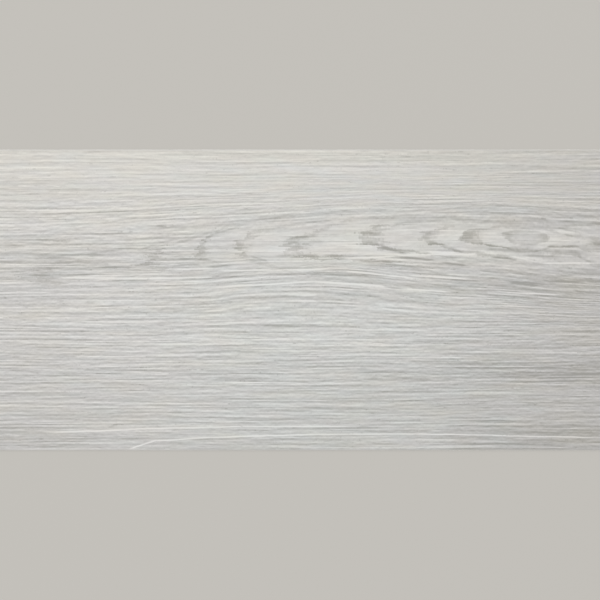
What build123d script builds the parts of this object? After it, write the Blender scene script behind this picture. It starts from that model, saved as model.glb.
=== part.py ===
from build123d import *

import os

# A straight-edged vinyl floor plank, lying face up.
# It is punched from one pressed sheet, so it is a single solid with square edges and square corners.
# A fine bevel runs round the face, and two planks laid edge to edge show it as a narrow groove.
# Length is along X, width along Y and the face is up. The origin is the middle of the back.

# Driving dimensions, in millimetres
plank_length = 1219.0
plank_width = 184.0
plank_thickness = 2.5
bevel_width = 0.6  # run of the bevel across the face
bevel_depth = 0.4  # drop of the bevel down the edge

with BuildPart() as plank:
    # The blank, as the punch cuts it from the sheet
    with BuildSketch(Plane.XY):
        Rectangle(plank_length, plank_width)
    extrude(amount=plank_thickness)

    # The bevel round the face, shallower than it is wide
    face = plank.faces().sort_by(Axis.Z)[-1]
    chamfer(face.edges(), length=bevel_width, length2=bevel_depth, reference=face)

plank.part.label = "plank"

os.makedirs("parts", exist_ok=True)
export_step(plank.part, "parts/plank.step")
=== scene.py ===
"""Dresses the vinyl floor plank: a limed-oak print, pressed grain, punched edges and a sanded back."""

import math

import bmesh
import bpy
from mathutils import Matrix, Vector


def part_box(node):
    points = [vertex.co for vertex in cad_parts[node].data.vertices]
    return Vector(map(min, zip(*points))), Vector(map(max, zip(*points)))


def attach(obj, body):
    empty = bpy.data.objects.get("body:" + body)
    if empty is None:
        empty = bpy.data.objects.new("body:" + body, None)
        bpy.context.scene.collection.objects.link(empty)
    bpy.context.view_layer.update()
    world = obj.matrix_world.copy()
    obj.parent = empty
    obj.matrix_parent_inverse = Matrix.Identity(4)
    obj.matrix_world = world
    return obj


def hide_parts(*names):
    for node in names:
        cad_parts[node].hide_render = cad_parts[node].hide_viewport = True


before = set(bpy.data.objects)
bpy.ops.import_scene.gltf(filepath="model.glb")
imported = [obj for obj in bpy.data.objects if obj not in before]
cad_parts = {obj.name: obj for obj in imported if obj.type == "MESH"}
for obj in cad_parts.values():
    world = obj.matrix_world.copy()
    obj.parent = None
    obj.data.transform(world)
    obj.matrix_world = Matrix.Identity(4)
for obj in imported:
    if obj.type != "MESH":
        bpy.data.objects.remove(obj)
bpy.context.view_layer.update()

# Units: the frame is in metres, and the patterns are worked out in millimetres
MM = 0.001

# Soft patterns: each has a length and a width in millimetres, and a seed of its own
SLOW_WANDER = (150, 40, 1.7)
QUICK_WANDER = (60, 12, 2.3)
UNEVENNESS = (55, 2.1, 16.7)
RING_WOBBLE = (45, 14, 4.9)
RING_RIPPLE = (9, 2.5, 22.3)
RING_PATCHES = (13, 3.5, 23.9)
STREAK_WANDER = (25, 5, 14.3)
TONE_DRIFT = (260, 7, 24.1)
TONE_STREAKS = (160, 9, 25.3)
WARM_STREAKS = (70, 12, 15.1)
WARM_DASHES = (22, 6, 19.7)
PINK_DASHES = (22, 6, 20.9)

# Patterns in rows of fibres, given in the same way
RING_COMB = (20, 0.8, 3.1)
RING_FRAY = (30, 0.85, 5.3)
CRESTS = (190, 0.92, 8.3)
BENT_ROWS = (60, 0.75, 7.7)
STRAIGHT_ROWS = (60, 0.75, 21.1)
DASHES = (9, 0.6, 6.1)
LIME_LINES = (110, 0.75, 10.7)
OPEN_LINES = (50, 0.75, 12.9)
PORES = (10, 0.75, 18.3)

# Rows of fibres read a rough noise this far apart, so that neighbours are unalike
ROW_STEP = 7.31
ROW_DETAIL = 5.0
ROW_ROUGHNESS = 0.8

# How far the hollows beside a crest lie from it, half of which also places the painted shade under each
# lime line, and how far the painted shade under a fine row lies from it
GRAIN_SPACING_MM = 3.4
ROW_SHADE_MM = 1.1

# A line of lime, an open line or a pore shows where its row's noise passes these values
LINE_STARTS, LINE_FULL = 0.23, 0.36

# Depth of the pressed grain, how far from the bevel it is full, and the height of the rows left to bump
EMBOSS_MM = 0.25
RIM_MM = 1.5
FINE_BUMP_MM = 0.06

# Matt sheen of the wear layer, and how strongly plain and chalk-filled vinyl bend light
FACE_ROUGHNESS = 0.55
VINYL_IOR = 1.5
FILLED_VINYL_IOR = 1.53

# The plank as the frame gives it: its box, the flat of its face and the shoulder under its bevel
low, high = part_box("plank")
TOUCH = 0.01 * MM
corners = [vertex.co for vertex in bpy.data.objects["plank"].data.vertices]
face_corners = [corner for corner in corners if corner.z > high.z - TOUCH]
FACE_LENGTH = 2 * max(corner.x for corner in face_corners)
FACE_WIDTH = 2 * max(corner.y for corner in face_corners)
SHOULDER = max(corner.z for corner in corners if corner.x > high.x - TOUCH)
LENGTH = high.x - low.x
WIDTH = high.y - low.y

# The photograph's frame in its own pixels: the plank's width gives the scale, and its ends are out of view
PHOTO_SIDE_PX = 600
UPPER_EDGE_PX = 149.5
LOWER_EDGE_PX = 450.5
PX_PER_MM = (LOWER_EDGE_PX - UPPER_EDGE_PX) / (WIDTH / MM)
VIEW_WIDTH = PHOTO_SIDE_PX / PX_PER_MM * MM

# Camera, light and background
LENS_MM = 100
SENSOR_MM = 36
SKY_STRENGTH = 0.45
LAMP_POWER = 46
LAMP_SIZE = 1.6
LAMP_PLACE = (-0.72, 1.0, 2.5)
BACKGROUND = "#c4c1bb"
FLOOR_EVENNESS = 0.85
FLOOR_SIZE = 40
FLOOR_LIFT = 0.05 * MM

# Mesh of the face: long cells, because the grain runs along the plank
FACE_COLUMNS = 200
FACE_ROWS = 460
BACK_ROWS = 8

# Strips of the map that is baked, from its bottom to its top: most of it is for the face
FACE_STRIP = (0.01, 0.74)
EDGE_STRIPS = {"front": (0.75, 0.76), "rear": (0.77, 0.78), "left": (0.79, 0.80), "right": (0.81, 0.82)}
BACK_STRIP = (0.83, 0.99)

# The flame figure, read off the photograph and carried on past its edges, in photograph pixels
EYE_PX = 527
EYE_RISE = 0.8
LEFT_TIPS_PX = (504, 461, 423, 357, 281, 232, 196, 142, 22, -110, -270, -450, -660)
RIGHT_TIPS_PX = (551, 606, 655, 735, 850, 1010, 1230)
FLAME_AXIS_PX = (
    (-693, 258), (-480, 264), (-300, 274), (-120, 279), (22, 275), (142, 260), (196, 252), (232, 245),
    (281, 246), (357, 237), (461, 236), (527, 237), (600, 244), (730, 250), (900, 240), (1100, 230),
    (1293, 236),
)
FLAME_SPREAD_PX = (
    (-693, 22), (0, 18), (281, 16), (400, 14), (423, 11.5), (461, 10.5), (480, 9.5), (504, 8), (527, 6.4),
    (560, 6.5), (590, 12), (630, 18), (700, 18), (1293, 20),
)
SPREAD_ABOVE = 0.85
FLAME_EDGE, FLAME_HEART = 1.6, 0.5
FLAME_BEGINS_PX, FLAME_FULL_PX = 180, 280

# How dark each ring is from the eye outwards, how much of its width its band takes, and the band's profile
RING_STRENGTH = (0.9, 1.4, 1.0, 1.15, 0.95, 0.9, 0.9, 0.8, 0.4, 0.5, 0.5, 0.5, 0.5, 0.4)
RING_REACH = (0.8, 0.5, 0.4, 0.34, 0.34, 0.34, 0.32, 0.26, 0.3, 0.3, 0.3, 0.3, 0.3, 0.3)
RING_MIDDLE = 0.2
RING_PROFILE = (0.0, 0.25, 0.4, 1.0)
BOW_POWER = 3.0

# How far the rings' limbs reach above and below the axis: the lower ones are short at the left.
# The rings past the eye are faint.
UPPER_LIMB_FULL, UPPER_LIMB_GONE = 0.3, 1.6
LOWER_LIMB_FULL, LOWER_LIMB_GONE = -1.2, -3.2
SHORT_LIMB_PX, LONG_LIMB_PX = 240, 330
SHORT_LIMB = 0.4
PAST_EYE_PX, FAINT_PX = 555, 590
FAINT = 0.5

# Rows where the grain's bends start, are full, wane and end, and where the grain grows calm near both edges
UPPER_BEND_PX = (170, 210, 210, 262)
LOWER_BEND_PX = (242, 280, 288, 335)
UPPER_LIVELY_PX, UPPER_CALM_PX = 215, 180
LOWER_LIVELY_PX, LOWER_CALM_PX = 370, 410

# How far the grain lines above and below the flame are lifted along the plank, in photograph pixels
UPPER_LIFT_PX = (
    (-693, 0), (-400, 1), (-150, 0), (0, 1), (100, 3), (200, 8), (300, 13), (400, 18), (475, 19),
    (550, 16.5), (600, 14), (700, 8), (900, 2), (1293, 0),
)
LOWER_LIFT_PX = (
    (-693, 0), (-300, 2), (-100, -1), (0, 0), (100, 2), (200, 3.6), (250, 7), (305, 8.6), (350, 7),
    (400, 3), (450, -1.3), (500, -4), (550, -9), (600, -12.4), (700, -16), (850, -12), (1050, -4),
    (1293, 0),
)

# Slow changes of tone and of hue in the print, in photograph pixels and shares. The tone is partly painted
# light and shade: lighter towards the upper edge on the lamp's side, darker towards the lower edge, and
# darker past the middle towards the +X end
PRINT_TONE = 0.56
DRIFT_MM = 100.0
TONE_AND_PAINTED_SHADE_ALONG_PX = (
    (-693, -0.1), (-500, -0.11), (-330, -0.03), (-200, 0.03), (-60, 0.0), (20, 0.0), (110, 0.03),
    (220, 0.04), (350, 0.03), (450, -0.03), (550, -0.11), (640, -0.15), (800, -0.16), (950, -0.12),
    (1100, -0.13), (1293, -0.09),
)
TONE_AND_PAINTED_LIGHT_ACROSS_PX = (
    (450, -0.09), (420, -0.065), (400, -0.05), (376, -0.055), (360, -0.02), (346, 0.02), (316, 0.02),
    (275, 0.0), (225, 0.03), (195, 0.06), (150, 0.11),
)
WARMTH_ACROSS_PX = ((450, 0.25), (370, 0.15), (300, 0.2), (250, 0.4), (180, 0.6), (150, 1.15))
BLUSH_ALONG_PX = (
    (-693, 0.0), (-400, -0.3), (-150, 0.2), (0, 0.8), (60, 0.5), (150, 0.2), (200, -0.3), (300, -0.7),
    (420, -0.5), (480, 0.0), (540, 0.5), (600, 1.25), (720, 0.5), (900, 0.0), (1293, 0.0),
)
BLUSH_WEAK_PX, BLUSH_STRONG_PX = 240, 310

# The streaks that stand out, and four broad patches of painted shade, in photograph pixels: start, end,
# half width and strength of each
LIME, SHADE = 0.85, -0.45
STREAK_FADE = 0.25
DRAWN_STREAKS_AND_SHADE_PX = (
    (50, 278, 190, 278, 1.3, LIME), (208, 271, 340, 269, 1.3, LIME), (336, 270, 425, 279, 1.3, LIME),
    (208, 288, 320, 281, 1.3, LIME), (310, 281, 395, 287, 1.3, LIME), (285, 295, 318, 295, 1.2, LIME),
    (340, 259, 402, 256, 1.2, LIME), (395, 255, 480, 254, 1.2, LIME),
    (508, 255.5, 538, 262.5, 1.2, 0.5 * LIME), (532, 263.5, 602, 263.5, 1.3, LIME),
    (400, 275, 470, 279, 1.2, LIME), (398, 289, 455, 292, 1.2, LIME), (485, 291, 570, 295, 1.2, LIME),
    (128, 449, 158, 440, 1.2, LIME), (145, 441.5, 215, 437, 1.2, LIME), (185, 438, 330, 434, 1.1, LIME),
    (290, 434.5, 460, 434, 1.1, LIME), (420, 434, 610, 438, 1.1, LIME), (40, 433, 150, 428.5, 1.2, LIME),
    (120, 429.5, 260, 426, 1.2, LIME), (240, 426, 365, 427, 1.1, LIME),
    (204, 277, 242, 276, 2.0, SHADE), (256, 274, 350, 274, 1.5, SHADE), (327, 275, 395, 276, 1.3, SHADE),
    (271, 256, 324, 256, 2.0, SHADE), (205, 267, 234, 266, 2.5, SHADE), (143, 259, 197, 259, 1.6, SHADE),
    (22, 275, 98, 275, 2.2, SHADE), (-10, 262, 28, 262, 1.8, SHADE), (-10, 245, 27, 245, 1.6, SHADE),
    (30, 257, 78, 256, 3.0, 0.8 * SHADE), (286, 238, 322, 236, 2.2, SHADE), (50, 267, 197, 267, 1.2, SHADE),
    (398, 257, 440, 261, 1.8, 1.5 * SHADE), (438, 262, 470, 266, 1.8, 1.5 * SHADE),
    (476, 270, 510, 274, 1.8, SHADE), (505, 282, 580, 282, 1.8, SHADE), (522, 255, 594, 258, 1.8, SHADE),
    (492, 257, 519, 260, 1.5, 1.3 * SHADE), (430, 371, 720, 373, 11, 0.45 * SHADE),
    (96, 267.5, 136, 267.5, 1.6, SHADE), (84, 254, 140, 247, 2.2, SHADE), (57, 226, 81, 226, 1.3, SHADE),
    (104, 280, 156, 281.5, 1.6, SHADE), (172, 264.5, 202, 264.5, 1.5, SHADE),
    (148, 237, 196, 234, 2.5, 0.6 * SHADE), (250, 256, 270, 262, 2.2, SHADE),
    (98, 292, 216, 292, 1.1, 0.8 * SHADE), (372, 244, 412, 256, 2.4, SHADE),
    (560, 228, 584, 234, 1.8, SHADE), (586, 243, 630, 246, 7.0, 0.75 * SHADE),
    # The broad shade streaks from (390, 432), (410, 285), (-250, 440) and (480, 350) are painted shade,
    # darkening towards the lower edge and the +X end
    (390, 432, 900, 436, 22, 0.28 * SHADE), (410, 285, 860, 292, 18, 0.3 * SHADE),
    (390, 242, 640, 246, 36, 0.24 * LIME), (140, 343, 430, 343, 10, 0.14 * LIME),
    (20, 222, 170, 220, 14, 0.12 * LIME), (-250, 440, 150, 442, 22, 0.25 * SHADE),
    (480, 350, 1000, 356, 70, 0.2 * SHADE), (508, 237, 550, 238, 6.5, 0.4 * SHADE),
    (408, 270, 454, 275, 2.2, 0.9 * SHADE), (506, 283, 540, 286, 2.0, SHADE),
    (548, 280, 588, 283, 1.6, SHADE), (278, 243, 330, 243, 5.5, 0.5 * SHADE),
    (176, 259, 214, 260, 2.0, 0.7 * SHADE), (155, 226, 168, 227, 2.6, SHADE),
    (168, 246, 218, 230, 2.6, 0.8 * SHADE), (134, 251, 182, 237, 2.4, 0.7 * SHADE),
    (198, 240, 246, 224, 2.2, 0.7 * SHADE), (230, 246, 440, 246, 22, 0.12 * LIME),
)


def linear(hex_colour):
    """Turns an sRGB hex colour into linear red, green, blue and alpha."""
    channels = []
    for place in (1, 3, 5):
        share = int(hex_colour[place:place + 2], 16) / 255
        channels.append(share / 12.92 if share <= 0.04045 else ((share + 0.055) / 1.055) ** 2.4)
    return channels + [1.0]


def along_mm(column_px):
    """Millimetres along the plank, from its middle, of a photograph column."""
    return (column_px - PHOTO_SIDE_PX / 2) / PX_PER_MM


def across_mm(row_px):
    """Millimetres across the plank, from its middle, of a photograph row."""
    return (PHOTO_SIDE_PX / 2 - row_px) / PX_PER_MM


def add(tree, kind, links=None, out=0, **settings):
    """Adds one node, sets or links its inputs by name or number, and gives one of its outputs."""
    node = tree.nodes.new(kind)
    for name, value in settings.items():
        setattr(node, name, value)
    for key, value in (links or {}).items():
        if isinstance(value, bpy.types.NodeSocket):
            tree.links.new(value, node.inputs[key])
        else:
            node.inputs[key].default_value = value
    return node.outputs[out] if node.outputs else None


def curve_through(tree, place, points):
    """A smooth curve through given points, each a place and a height, read at a place."""
    places = [point[0] for point in points]
    heights = [point[1] for point in points]
    start, end, bottom, top = min(places), max(places), min(heights), max(heights)
    share = add(tree, "ShaderNodeMapRange", {"Value": place, "From Min": start, "From Max": end})
    height = add(tree, "ShaderNodeFloatCurve", {"Value": share})
    mapping = height.node.mapping
    curve = mapping.curves[0]
    shares = [((at - start) / (end - start), (to - bottom) / (top - bottom)) for at, to in points]
    curve.points[0].location = shares[0]
    curve.points[1].location = shares[-1]
    for at, to in shares[1:-1]:
        curve.points.new(at, to)
    for point in curve.points:
        point.handle_type = "AUTO_CLAMPED"
    mapping.update()
    return add(tree, "ShaderNodeMapRange", {"Value": height, "To Min": bottom, "To Max": top})


def streaks(tree, grain, length_mm, width_mm, seed, detail=1.0):
    """Soft streaks of one length and width that follow the grain, from -1 to 1."""
    stretched = add(tree, "ShaderNodeVectorMath", {
        0: grain, 1: (1 / length_mm, 1 / width_mm, 1), 2: (0, 0, seed)}, operation="MULTIPLY_ADD")
    noise = add(tree, "ShaderNodeTexNoise", {"Vector": stretched, "Scale": 1, "Detail": detail})
    return add(tree, "ShaderNodeMath", {0: noise, 1: 2, 2: -1}, operation="MULTIPLY_ADD")


def fibres(tree, along, level, length_mm, width_mm, seed):
    """Fine rows side by side, each with its own light and dark stretches, from -1 to 1."""
    row = add(tree, "ShaderNodeMath", {0: level, 1: width_mm}, operation="DIVIDE")
    row = add(tree, "ShaderNodeMath", {0: row}, operation="FLOOR")
    row = add(tree, "ShaderNodeMath", {0: row, 1: ROW_STEP}, operation="MULTIPLY")
    stretch = add(tree, "ShaderNodeMath", {0: along, 1: length_mm}, operation="DIVIDE")
    place = add(tree, "ShaderNodeCombineXYZ", {"X": stretch, "Y": row, "Z": seed})
    noise = add(tree, "ShaderNodeTexNoise", {
        "Vector": place, "Scale": 1, "Detail": ROW_DETAIL, "Roughness": ROW_ROUGHNESS})
    return add(tree, "ShaderNodeMath", {0: noise, 1: 2, 2: -1}, operation="MULTIPLY_ADD")


def mixed(tree, start, parts):
    """A starting value plus each part times its weight."""
    total = start
    for part, weight in parts:
        total = add(tree, "ShaderNodeMath", {0: part, 1: weight, 2: total}, operation="MULTIPLY_ADD")
    return total


def hump(tree, place, start, full, waning, end):
    """Rises smoothly from nothing at start to one at full, stays there till waning and is gone at end."""
    rise = add(tree, "ShaderNodeMapRange", {"Value": place, "From Min": start, "From Max": full},
               interpolation_type="SMOOTHSTEP", clamp=False)
    fall = add(tree, "ShaderNodeMapRange", {"Value": place, "From Min": end, "From Max": waning},
               interpolation_type="SMOOTHSTEP", clamp=False)
    return add(tree, "ShaderNodeMath", {0: rise, 1: fall}, operation="MULTIPLY")


def drawn_streaks_and_shade(tree, along, across):
    """The listed streaks, each a soft line that is widest in its middle.

    The steps end by themselves, so they aren't clamped: clamps would overfill the renderer's stack.
    """
    # The broadest of these are painted shade
    total = 0.0
    for start, start_row, end, end_row, half_px, strength in DRAWN_STREAKS_AND_SHADE_PX:
        line = add(tree, "ShaderNodeMapRange", {
            "Value": along, "From Min": along_mm(start), "From Max": along_mm(end),
            "To Min": across_mm(start_row), "To Max": across_mm(end_row)}, clamp=False)
        gap = add(tree, "ShaderNodeMath", {0: across, 1: line}, operation="SUBTRACT")
        gap = add(tree, "ShaderNodeMath", {0: gap}, operation="ABSOLUTE")
        line = add(tree, "ShaderNodeMapRange", {
            "Value": gap, "From Min": half_px / PX_PER_MM, "From Max": 0, "To Max": strength},
            interpolation_type="SMOOTHSTEP", clamp=False)
        fade = (end - start) * STREAK_FADE
        taper = hump(tree, along, *(along_mm(at) for at in (start, start + fade, end - fade, end)))
        line = add(tree, "ShaderNodeMath", {0: line, 1: taper}, operation="MULTIPLY")
        total = add(tree, "ShaderNodeMath", {0: total, 1: line}, operation="ADD")
    return total


def oak_figure(tree, place):
    """The oak's figure at a place on the plank, from which both the print and the relief are drawn."""
    spot = add(tree, "ShaderNodeVectorMath", {0: place, "Scale": 1 / MM}, operation="SCALE")
    split = add(tree, "ShaderNodeSeparateXYZ", {0: spot}).node.outputs
    along = split["X"]
    across = split["Y"]
    straight = add(tree, "ShaderNodeCombineXYZ", {"X": along, "Y": across})

    # Grain lines bend round the flame, and wander a little everywhere
    upper_lift = curve_through(
        tree, along, [(along_mm(at), lift / PX_PER_MM) for at, lift in UPPER_LIFT_PX])
    lower_lift = curve_through(
        tree, along, [(along_mm(at), lift / PX_PER_MM) for at, lift in LOWER_LIFT_PX])
    upper_share = hump(tree, across, *(across_mm(row) for row in UPPER_BEND_PX))
    lower_share = hump(tree, across, *(across_mm(row) for row in LOWER_BEND_PX))
    upper_bend = add(tree, "ShaderNodeMath", {0: upper_lift, 1: upper_share}, operation="MULTIPLY")
    lower_bend = add(tree, "ShaderNodeMath", {0: lower_lift, 1: lower_share}, operation="MULTIPLY")
    level = mixed(tree, across, (
        (upper_bend, -1.0),
        (lower_bend, -1.0),
        (streaks(tree, straight, *SLOW_WANDER), 1.7),
        (streaks(tree, straight, *QUICK_WANDER), 0.16),
    ))
    grain = add(tree, "ShaderNodeCombineXYZ", {"X": along, "Y": level})
    uneven = mixed(tree, level, ((streaks(tree, grain, *UNEVENNESS, detail=0), 0.1),))

    # Growth rings, sliced at a slant, show as nested flames that close round an eye
    tips = [(along_mm(EYE_PX), EYE_RISE)]
    for tip_columns in (LEFT_TIPS_PX, RIGHT_TIPS_PX):
        tips += [(along_mm(column), -float(ring)) for ring, column in enumerate(tip_columns)]
    height = curve_through(tree, along, sorted(tips))
    axis = curve_through(tree, along, [(along_mm(at), across_mm(row)) for at, row in FLAME_AXIS_PX])
    spread = curve_through(tree, along, [(along_mm(at), half / PX_PER_MM) for at, half in FLAME_SPREAD_PX])
    offset = add(tree, "ShaderNodeMath", {0: across, 1: axis}, operation="SUBTRACT")
    offset = add(tree, "ShaderNodeMath", {0: offset, 1: spread}, operation="DIVIDE")
    above = add(tree, "ShaderNodeMath", {0: offset, 1: 0}, operation="MAXIMUM")
    below = add(tree, "ShaderNodeMath", {0: offset, 1: 0}, operation="MINIMUM")
    away = mixed(tree, 0.0, ((above, 1 / SPREAD_ABOVE), (below, -1.0)))
    bow = add(tree, "ShaderNodeMath", {0: away, 1: BOW_POWER}, operation="POWER")
    bow = add(tree, "ShaderNodeMath", {0: bow, 1: 1.0}, operation="ADD")
    bow = add(tree, "ShaderNodeMath", {0: bow, 1: math.e}, operation="LOGARITHM")
    comb = fibres(tree, along, uneven, *RING_COMB)
    ring = mixed(tree, height, (
        (bow, -0.63),
        (comb, 0.55),
        (streaks(tree, straight, *RING_WOBBLE), 0.15),
        (streaks(tree, straight, *RING_RIPPLE), 0.12),
    ))
    strength = curve_through(
        tree, ring, sorted((RING_MIDDLE - number, share) for number, share in enumerate(RING_STRENGTH)))
    reach = curve_through(
        tree, ring, sorted((RING_MIDDLE - number, share) for number, share in enumerate(RING_REACH)))
    phase = add(tree, "ShaderNodeMath", {0: ring}, operation="FRACT")
    phase = add(tree, "ShaderNodeMath", {0: phase, 1: reach}, operation="DIVIDE")
    band = hump(tree, phase, *RING_PROFILE)

    # The rings' limbs fade away from the axis, and their edges are frayed and patchy
    upper_limb = add(tree, "ShaderNodeMapRange", {
        "Value": above, "From Min": UPPER_LIMB_FULL, "From Max": UPPER_LIMB_GONE, "To Min": 1, "To Max": 0})
    lower_reach = add(tree, "ShaderNodeMapRange", {
        "Value": along, "From Min": along_mm(SHORT_LIMB_PX), "From Max": along_mm(LONG_LIMB_PX),
        "To Min": SHORT_LIMB, "To Max": 1.0})
    lower_limb = add(tree, "ShaderNodeMath", {0: below, 1: lower_reach}, operation="DIVIDE")
    lower_limb = add(tree, "ShaderNodeMapRange", {
        "Value": lower_limb, "From Min": LOWER_LIMB_FULL, "From Max": LOWER_LIMB_GONE,
        "To Min": 1, "To Max": 0})
    frayed = add(tree, "ShaderNodeMapRange", {
        "Value": fibres(tree, along, uneven, *RING_FRAY), "From Min": -0.4, "From Max": 0.4,
        "To Min": 1.4, "To Max": 0.4})
    beyond_eye = add(tree, "ShaderNodeMapRange", {
        "Value": along, "From Min": along_mm(PAST_EYE_PX), "From Max": along_mm(FAINT_PX),
        "To Min": 1.0, "To Max": FAINT})
    patchy = add(tree, "ShaderNodeMapRange", {
        "Value": streaks(tree, straight, *RING_PATCHES), "From Min": -0.25, "From Max": 0.3,
        "To Min": 1.3, "To Max": 0.7})
    for share in (strength, upper_limb, lower_limb, frayed, patchy, beyond_eye):
        band = add(tree, "ShaderNodeMath", {0: band, 1: share}, operation="MULTIPLY")

    # The grain is quiet inside the flame and along both edges
    flame = add(tree, "ShaderNodeMapRange", {
        "Value": away, "From Min": FLAME_EDGE, "From Max": FLAME_HEART}, interpolation_type="SMOOTHSTEP")
    right = add(tree, "ShaderNodeMapRange", {
        "Value": along, "From Min": along_mm(FLAME_BEGINS_PX), "From Max": along_mm(FLAME_FULL_PX)})
    flame = add(tree, "ShaderNodeMath", {0: flame, 1: right}, operation="MULTIPLY")
    upper = add(tree, "ShaderNodeMapRange", {
        "Value": across, "From Min": across_mm(UPPER_LIVELY_PX), "From Max": across_mm(UPPER_CALM_PX)},
        interpolation_type="SMOOTHSTEP")
    lower = add(tree, "ShaderNodeMapRange", {
        "Value": across, "From Min": across_mm(LOWER_LIVELY_PX), "From Max": across_mm(LOWER_CALM_PX)},
        interpolation_type="SMOOTHSTEP")
    liveliness = mixed(tree, 1.0, ((flame, -0.75), (upper, -0.12), (lower, -0.16)))
    row_liveliness = mixed(tree, 1.0, ((flame, -0.2), (upper, -0.48), (lower, -0.16)))

    # Long pale crests, each with a dark hollow along both sides
    over = mixed(tree, uneven, ((1.0, -GRAIN_SPACING_MM / 2),))
    under = mixed(tree, uneven, ((1.0, GRAIN_SPACING_MM / 2),))
    crest = 0.0
    for level_there, share in ((uneven, 1.0), (over, -0.5), (under, -0.5)):
        row = add(tree, "ShaderNodeMapRange", {
            "Value": fibres(tree, along, level_there, *CRESTS), "From Min": -0.35, "From Max": 0.35,
            "To Min": -0.25, "To Max": 0.25}, interpolation_type="SMOOTHSTEP")
        crest = mixed(tree, crest, ((row, share),))
    crest = add(tree, "ShaderNodeMath", {0: crest, 1: liveliness}, operation="MULTIPLY")

    # Fine rows, which run straight through the flame, and short dashes between the crests. Each bent row
    # has a painted shade just under it, as if it were a ridge lit from the upper edge.
    painted_shade_of_row = mixed(tree, uneven, ((1.0, ROW_SHADE_MM),))
    bent_rows = mixed(tree, 0.0, (
        (fibres(tree, along, uneven, *BENT_ROWS), 1.0),
        (fibres(tree, along, painted_shade_of_row, *BENT_ROWS), -0.4),
    ))
    straight_rows = fibres(tree, along, across, *STRAIGHT_ROWS)
    rows = add(tree, "ShaderNodeMix", {0: flame, 2: bent_rows, 3: straight_rows})
    rows = add(tree, "ShaderNodeMath", {0: rows, 1: row_liveliness}, operation="MULTIPLY")
    dashes = fibres(tree, along, uneven, *DASHES)
    dashes = add(tree, "ShaderNodeMath", {0: dashes, 1: liveliness}, operation="MULTIPLY")
    rows = mixed(tree, 0.0, ((rows, 2.1), (dashes, 0.6)))

    # Thin lines of lime, each with a painted shade under it as if the line were a ridge lit from the upper
    # edge, dark lines where the grain is open, and short pores
    lines = {}
    for name, level_there, pattern in (
            ("lime", uneven, LIME_LINES), ("painted_shade_under_lime", under, LIME_LINES), ("open", uneven, OPEN_LINES),
            ("pores", uneven, PORES)):
        line = add(tree, "ShaderNodeMapRange", {
            "Value": fibres(tree, along, level_there, *pattern), "From Min": LINE_STARTS,
            "From Max": LINE_FULL})
        lines[name] = add(tree, "ShaderNodeMath", {0: line, 1: liveliness}, operation="MULTIPLY")

    # The streaks that stand out, and the broad patches of painted shade among them, tapered at both ends,
    # wander a little both ways.
    # Both ways wait for one noise, so the renderer works out a streak at a time and its stack stays small.
    wander = streaks(tree, straight, *STREAK_WANDER)
    drawn = drawn_streaks_and_shade(tree, mixed(tree, along, ((wander, 0.5),)), mixed(tree, across, ((wander, 0.5),)))
    return {"along": along, "across": across, "grain": grain, "band": band, "flame": flame, "crest": crest,
            "rows": rows, "lime": lines["lime"], "painted_shade_under_lime": lines["painted_shade_under_lime"], "open": lines["open"],
            "pores": lines["pores"], "drawn": drawn}


def new_material(name):
    """An empty node material, and its tree."""
    material = bpy.data.materials.new(name)
    material.use_nodes = True
    material.node_tree.nodes.clear()
    return material, material.node_tree


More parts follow.
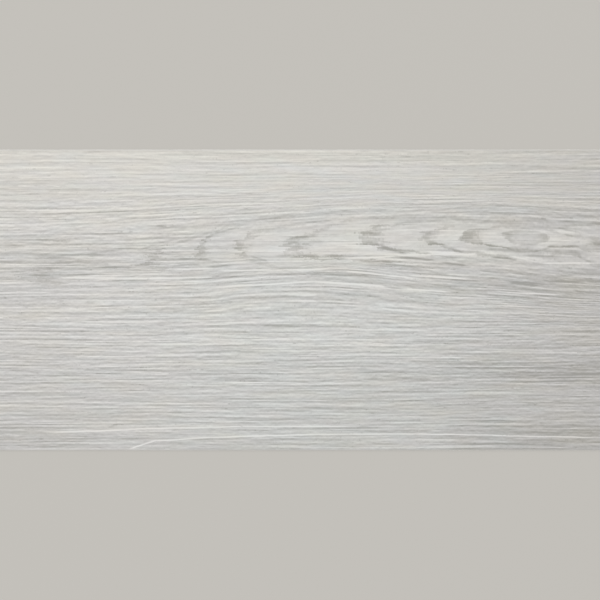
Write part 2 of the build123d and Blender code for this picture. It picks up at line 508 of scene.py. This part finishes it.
def limed_oak_print():
    """Vinyl printed with limed oak, under a clear wear layer.

    The print gives pale grey streaks with white lime in the grain, and the wear layer a low, even sheen.
    Its tone also holds painted light and shade: lighter on the lamp's side, darker away from it, and a dark
    line under each lime line and fine row.
    """
    material, tree = new_material("limed_oak_printed_vinyl")
    figure = oak_figure(tree, add(tree, "ShaderNodeTexCoord", out=3))
    along, across = figure["along"], figure["across"]
    grain = figure["grain"]
    drift = mixed(tree, along, ((streaks(tree, grain, *TONE_DRIFT), DRIFT_MM),))
    tone = mixed(tree, PRINT_TONE, (
        # Painted light and shade: the tone along the plank falls towards the +X end, and the tone across it
        # is lighter at the upper edge and darker at the lower
        (curve_through(tree, drift, [(along_mm(at), share) for at, share in TONE_AND_PAINTED_SHADE_ALONG_PX]), 1.0),
        (curve_through(tree, across, [(across_mm(at), share) for at, share in TONE_AND_PAINTED_LIGHT_ACROSS_PX]), 1.0),
        (streaks(tree, grain, *TONE_STREAKS), 0.065),
        (figure["flame"], 0.09),
        (figure["crest"], 0.56),
        (figure["rows"], 0.54),
        (figure["band"], -0.42),
        (figure["lime"], 0.28),
        # A dark line under each lime line: painted shade
        (figure["painted_shade_under_lime"], -0.16),
        (figure["open"], -0.22),
        (figure["pores"], -0.3),
        # The listed streaks, with broad patches of painted shade among them
        (figure["drawn"], 0.75),
    ))
    ramp = add(tree, "ShaderNodeValToRGB", {"Fac": tone})
    stops = ramp.node.color_ramp.elements
    stops[0].position = 0.0
    stops[0].color = linear("#a3a29d")
    stops[1].position = 1.0
    stops[1].color = linear("#e8e7e3")
    middle = stops.new(0.5)
    middle.color = linear("#c8c7c4")

    # Slow changes of hue: yellower along the upper edge, and pinker or greener by turns along the plank
    warmth = curve_through(tree, across, [(across_mm(at), share) for at, share in WARMTH_ACROSS_PX])
    warmth = mixed(tree, warmth, (
        (streaks(tree, grain, *WARM_STREAKS), 0.6),
        (streaks(tree, grain, *WARM_DASHES), 0.8),
        (figure["band"], 0.25),
    ))
    tint = add(tree, "ShaderNodeMix", {0: warmth, 6: linear("#fdfeff"), 7: linear("#fffef9")}, out=2,
               data_type="RGBA")
    blush = curve_through(tree, along, [(along_mm(at), share) for at, share in BLUSH_ALONG_PX])
    below = add(tree, "ShaderNodeMapRange", {
        "Value": across, "From Min": across_mm(BLUSH_WEAK_PX), "From Max": across_mm(BLUSH_STRONG_PX)})
    reach = mixed(tree, 0.15, ((below, 0.35),))
    usual = mixed(tree, 0.8, ((below, -0.15),))
    blush = add(tree, "ShaderNodeMath", {0: blush, 1: reach, 2: usual}, operation="MULTIPLY_ADD")
    blush = mixed(tree, blush, ((streaks(tree, grain, *PINK_DASHES), 1.0), (figure["band"], -0.1)))
    blush = add(tree, "ShaderNodeMix", {0: blush, 6: linear("#fdffff"), 7: linear("#fffdfd")}, out=2,
                data_type="RGBA")
    colour = ramp
    for cast in (tint, blush):
        colour = add(tree, "ShaderNodeMix", {0: 1.0, 6: colour, 7: cast}, out=2, data_type="RGBA",
                     blend_type="MULTIPLY")

    # The grain is pressed into the mesh, and only its finest rows are left to bump
    relief = mixed(tree, 0.0, ((figure["rows"], 0.5), (figure["lime"], 0.3), (figure["open"], -0.5)))
    bump = add(tree, "ShaderNodeBump", {"Height": relief, "Distance": FINE_BUMP_MM * MM})
    sheen = mixed(tree, FACE_ROUGHNESS, ((figure["lime"], 0.08), (figure["rows"], 0.05)))
    surface = add(tree, "ShaderNodeBsdfPrincipled", {
        "Base Color": colour, "Roughness": sheen, "IOR": VINYL_IOR, "Normal": bump})
    add(tree, "ShaderNodeOutputMaterial", {"Surface": surface})
    return material


def painted_bevel():
    """Vinyl bevelled on the line and painted to match the print: a paler grey, thin in places. The paleness
    is partly painted light, which lifts the bevel that faces away from the lamp.
    """
    material, tree = new_material("painted_vinyl_bevel")
    place = add(tree, "ShaderNodeTexCoord", out=3)
    thin = add(tree, "ShaderNodeTexNoise", {"Vector": place, "Scale": 1 / (14 * MM), "Detail": 3})
    colour = add(tree, "ShaderNodeMix", {0: thin, 6: linear("#c9c7c2"), 7: linear("#e0deda")}, out=2,
                 data_type="RGBA")
    surface = add(tree, "ShaderNodeBsdfPrincipled", {
        "Base Color": colour, "Roughness": 0.6, "IOR": VINYL_IOR})
    add(tree, "ShaderNodeOutputMaterial", {"Surface": surface})
    return material


def punched_edge():
    """Chalk-filled vinyl where the punch cuts it: dull warm grey, with upright drag lines and pale grit.

    The real lines are a few tenths of a millimetre apart, and these are coarser so that they show.
    """
    material, tree = new_material("punched_filled_vinyl")
    place = add(tree, "ShaderNodeTexCoord", out=3)
    drag = add(tree, "ShaderNodeVectorMath", {
        0: place, 1: (1 / (1.2 * MM), 1 / (1.2 * MM), 1 / (9 * MM))}, operation="MULTIPLY")
    drag = add(tree, "ShaderNodeTexNoise", {"Vector": drag, "Scale": 1, "Detail": 3, "Roughness": 0.6})
    grit = add(tree, "ShaderNodeTexNoise", {"Vector": place, "Scale": 1 / (0.8 * MM), "Detail": 2})
    grit = add(tree, "ShaderNodeMapRange", {"Value": grit, "From Min": 0.58, "From Max": 0.72})
    shade = mixed(tree, drag, ((grit, 0.4),))
    colour = add(tree, "ShaderNodeMix", {0: shade, 6: linear("#979389"), 7: linear("#c6c3bb")}, out=2,
                 data_type="RGBA")
    bump = add(tree, "ShaderNodeBump", {"Height": drag, "Distance": 0.15 * MM})
    surface = add(tree, "ShaderNodeBsdfPrincipled", {
        "Base Color": colour, "Roughness": 0.72, "IOR": FILLED_VINYL_IOR, "Normal": bump})
    add(tree, "ShaderNodeOutputMaterial", {"Surface": surface})
    return material


def sanded_back():
    """Chalk-filled vinyl sanded for the glue: mid grey with no sheen, fine scratches and pale grit.

    The real scratches are about a tenth of a millimetre wide, and these are coarser so that they show.
    """
    material, tree = new_material("sanded_filled_vinyl")
    place = add(tree, "ShaderNodeTexCoord", out=3)
    scratch = add(tree, "ShaderNodeVectorMath", {0: place, 1: (1 / (220 * MM), 1 / (4 * MM), 1)},
                  operation="MULTIPLY")
    scratch = add(tree, "ShaderNodeTexNoise", {
        "Vector": scratch, "Scale": 1, "Detail": 4, "Roughness": 0.65})
    cloud = add(tree, "ShaderNodeTexNoise", {"Vector": place, "Scale": 1 / (60 * MM), "Detail": 3})
    grit = add(tree, "ShaderNodeTexNoise", {"Vector": place, "Scale": 1 / (1.6 * MM), "Detail": 2})
    grit = add(tree, "ShaderNodeMapRange", {"Value": grit, "From Min": 0.6, "From Max": 0.74})
    shade = mixed(tree, -0.8, ((scratch, 1.6), (cloud, 1.0), (grit, 0.5)))
    colour = add(tree, "ShaderNodeMix", {0: shade, 6: linear("#75736d"), 7: linear("#adaba5")}, out=2,
                 data_type="RGBA")
    relief = mixed(tree, scratch, ((grit, 0.6),))
    bump = add(tree, "ShaderNodeBump", {"Height": relief, "Distance": 0.2 * MM})
    surface = add(tree, "ShaderNodeBsdfPrincipled", {
        "Base Color": colour, "Roughness": 0.85, "IOR": FILLED_VINYL_IOR, "Normal": bump})
    add(tree, "ShaderNodeOutputMaterial", {"Surface": surface})
    return material


# The plank's finishes, in the order of its materials
FACE, BEVEL, EDGE, BACK = range(4)


def pressed_plank():
    """The plank as one closed mesh: a fine grid for the face, then the bevel, the edges and the back."""
    shape = bmesh.new()
    bmesh.ops.create_grid(shape, x_segments=FACE_COLUMNS, y_segments=FACE_ROWS, size=0.5)
    bmesh.ops.scale(shape, vec=(FACE_LENGTH, FACE_WIDTH, 1), verts=shape.verts)
    bmesh.ops.translate(shape, vec=(0, 0, high.z), verts=shape.verts)
    for face in shape.faces:
        face.material_index = FACE
        face.smooth = True

    # Down the bevel to the shoulder, then down the edges to the back
    outward = (LENGTH / FACE_LENGTH, WIDTH / FACE_WIDTH, 1)
    steps = ((BEVEL, outward, SHOULDER - high.z), (EDGE, (1, 1, 1), low.z - SHOULDER))
    for finish, spread, drop in steps:
        rim = [edge for edge in shape.edges if edge.is_boundary]
        for edge in rim:
            edge.smooth = False
        step = bmesh.ops.extrude_edge_only(shape, edges=rim)["geom"]
        ring = [part for part in step if isinstance(part, bmesh.types.BMVert)]
        bmesh.ops.scale(shape, vec=spread, verts=ring)
        bmesh.ops.translate(shape, vec=(0, 0, drop), verts=ring)
        for face in (part for part in step if isinstance(part, bmesh.types.BMFace)):
            face.material_index = finish
            face.smooth = False

    # The back is bridged from one long edge to the other, and closed at both ends
    rim = [edge for edge in shape.edges if edge.is_boundary]
    last_column = LENGTH / 2 - TOUCH
    bridged = [edge for edge in rim if all(abs(vertex.co.x) < last_column for vertex in edge.verts)]
    back = bmesh.ops.bridge_loops(shape, edges=bridged)["faces"]
    back_edges = {edge for face in back for edge in face.edges}
    across_edges = [edge for edge in back_edges if abs(edge.verts[0].co.y - edge.verts[1].co.y) > TOUCH]
    bmesh.ops.subdivide_edges(shape, edges=across_edges, cuts=BACK_ROWS - 1, use_grid_fill=True)
    bmesh.ops.holes_fill(shape, edges=[edge for edge in shape.edges if edge.is_boundary], sides=0)
    for face in shape.faces:
        if all(vertex.co.z < low.z + TOUCH for vertex in face.verts):
            face.material_index = BACK
            face.smooth = False
    bmesh.ops.recalc_face_normals(shape, faces=shape.faces)
    lay_out_map(shape)

    mesh = bpy.data.meshes.new("pressed_plank")
    shape.to_mesh(mesh)
    shape.free()
    for material in (limed_oak_print(), painted_bevel(), punched_edge(), sanded_back()):
        mesh.materials.append(material)
    piece = bpy.data.objects.new("pressed_plank", mesh)
    bpy.context.collection.objects.link(piece)
    press_grain(piece)
    return piece


def lay_out_map(shape):
    """A map for baking, which gives the face more height than width: its grain is long but fine."""
    layer = shape.loops.layers.uv.new("OFBake")
    for face in shape.faces:
        finish = face.material_index
        for corner in face.loops:
            spot = corner.vert.co
            along = spot.x / LENGTH + 0.5
            across = spot.y / WIDTH + 0.5
            if finish == EDGE:
                side = "left" if face.normal.x < 0 else "right"
                if abs(face.normal.y) > abs(face.normal.x):
                    side = "front" if face.normal.y < 0 else "rear"
                else:
                    along = across
                strip = EDGE_STRIPS[side]
                across = (spot.z - low.z) / (SHOULDER - low.z)
            else:
                strip = BACK_STRIP if finish == BACK else FACE_STRIP
            corner[layer].uv = (along, strip[0] + across * (strip[1] - strip[0]))


def press_grain(piece):
    """Presses the grain into the face, in register with its print, and never above the flat of it."""
    tree = bpy.data.node_groups.new("pressed_grain", "GeometryNodeTree")
    tree.interface.new_socket("Plank", in_out="INPUT", socket_type="NodeSocketGeometry")
    tree.interface.new_socket("Plank", in_out="OUTPUT", socket_type="NodeSocketGeometry")
    flat = add(tree, "NodeGroupInput")
    place = add(tree, "GeometryNodeInputPosition")
    figure = oak_figure(tree, place)
    depth = mixed(tree, 0.5, ((figure["crest"], -0.9), (figure["lime"], -0.25), (figure["open"], 0.35)))
    depth = add(tree, "ShaderNodeMapRange", {"Value": depth, "To Max": -EMBOSS_MM * MM})
    for way, face_size in (("along", FACE_LENGTH), ("across", FACE_WIDTH)):
        half_face = face_size / 2 / MM
        distance = add(tree, "ShaderNodeMath", {0: figure[way]}, operation="ABSOLUTE")
        inside = add(tree, "ShaderNodeMapRange", {
            "Value": distance, "From Min": half_face, "From Max": half_face - RIM_MM})
        depth = add(tree, "ShaderNodeMath", {0: depth, 1: inside}, operation="MULTIPLY")
    height = add(tree, "ShaderNodeSeparateXYZ", {0: place}, out=2)
    on_face = add(tree, "ShaderNodeMath", {0: height, 1: high.z - TOUCH}, operation="GREATER_THAN")
    offset = add(tree, "ShaderNodeCombineXYZ", {"Z": depth})
    pressed = add(tree, "GeometryNodeSetPosition", {
        "Geometry": flat, "Selection": on_face, "Offset": offset})
    add(tree, "NodeGroupOutput", {0: pressed})
    piece.modifiers.new("pressed_grain", "NODES").node_group = tree
    finished = piece.evaluated_get(bpy.context.evaluated_depsgraph_get())
    piece.data = bpy.data.meshes.new_from_object(finished)
    piece.modifiers.clear()


def seen_directly(tree):
    """One for what is seen, also by reflection or through glass, and nothing for the light that falls."""
    rays = add(tree, "ShaderNodeLightPath").node.outputs
    seen = mixed(tree, rays["Is Camera Ray"], (
        (rays["Is Glossy Ray"], 1.0), (rays["Is Transmission Ray"], 1.0)))
    return add(tree, "ShaderNodeMath", {0: seen, 1: 1.0}, operation="MINIMUM")


def pale_floor():
    """A plain pale floor under the plank, evened out for the eye but with the plank's shadow on it.

    It lies a hair above the plank's back, so that the back shows from below.
    """
    material, tree = new_material("matt_painted_floor")
    lit = add(tree, "ShaderNodeBsdfPrincipled", {"Base Color": linear(BACKGROUND), "Roughness": 0.9})
    flat = add(tree, "ShaderNodeEmission", {"Color": linear(BACKGROUND)})
    even = add(tree, "ShaderNodeMath", {0: seen_directly(tree), 1: FLOOR_EVENNESS}, operation="MULTIPLY")
    surface = add(tree, "ShaderNodeMixShader", {0: even, 1: lit, 2: flat})
    add(tree, "ShaderNodeOutputMaterial", {"Surface": surface})
    shape = bmesh.new()
    bmesh.ops.create_grid(shape, x_segments=1, y_segments=1, size=FLOOR_SIZE)
    bmesh.ops.translate(shape, vec=(0, 0, low.z + FLOOR_LIFT), verts=shape.verts)
    mesh = bpy.data.meshes.new("floor")
    shape.to_mesh(mesh)
    shape.free()
    mesh.materials.append(material)
    floor = bpy.data.objects.new("floor", mesh)
    bpy.context.collection.objects.link(floor)
    return floor


def studio():
    """Soft light from the upper left, an even sky and a camera straight above the plank."""
    scene = bpy.context.scene
    scene.view_settings.view_transform = "Standard"
    world = bpy.data.worlds.new("even_sky")
    world.use_nodes = True
    tree = world.node_tree
    tree.nodes.clear()
    light = add(tree, "ShaderNodeBackground", {"Color": linear("#ffffff"), "Strength": SKY_STRENGTH})
    backdrop = add(tree, "ShaderNodeBackground", {"Color": linear(BACKGROUND)})
    surface = add(tree, "ShaderNodeMixShader", {0: seen_directly(tree), 1: light, 2: backdrop})
    add(tree, "ShaderNodeOutputWorld", {"Surface": surface})
    scene.world = world

    lamp = bpy.data.lights.new("softbox", "AREA")
    lamp.energy = LAMP_POWER
    lamp.size = LAMP_SIZE
    softbox = bpy.data.objects.new("softbox", lamp)
    softbox.location = LAMP_PLACE
    softbox.rotation_euler = (-softbox.location).to_track_quat("-Z", "Y").to_euler()
    bpy.context.collection.objects.link(softbox)

    lens = bpy.data.cameras.new("camera")
    lens.lens = LENS_MM
    lens.sensor_width = SENSOR_MM
    camera = bpy.data.objects.new("camera", lens)
    camera.location = (0, 0, high.z + VIEW_WIDTH * LENS_MM / SENSOR_MM)
    bpy.context.collection.objects.link(camera)
    scene.camera = camera


plank = pressed_plank()
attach(plank, "root")
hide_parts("plank")
pale_floor()
studio()
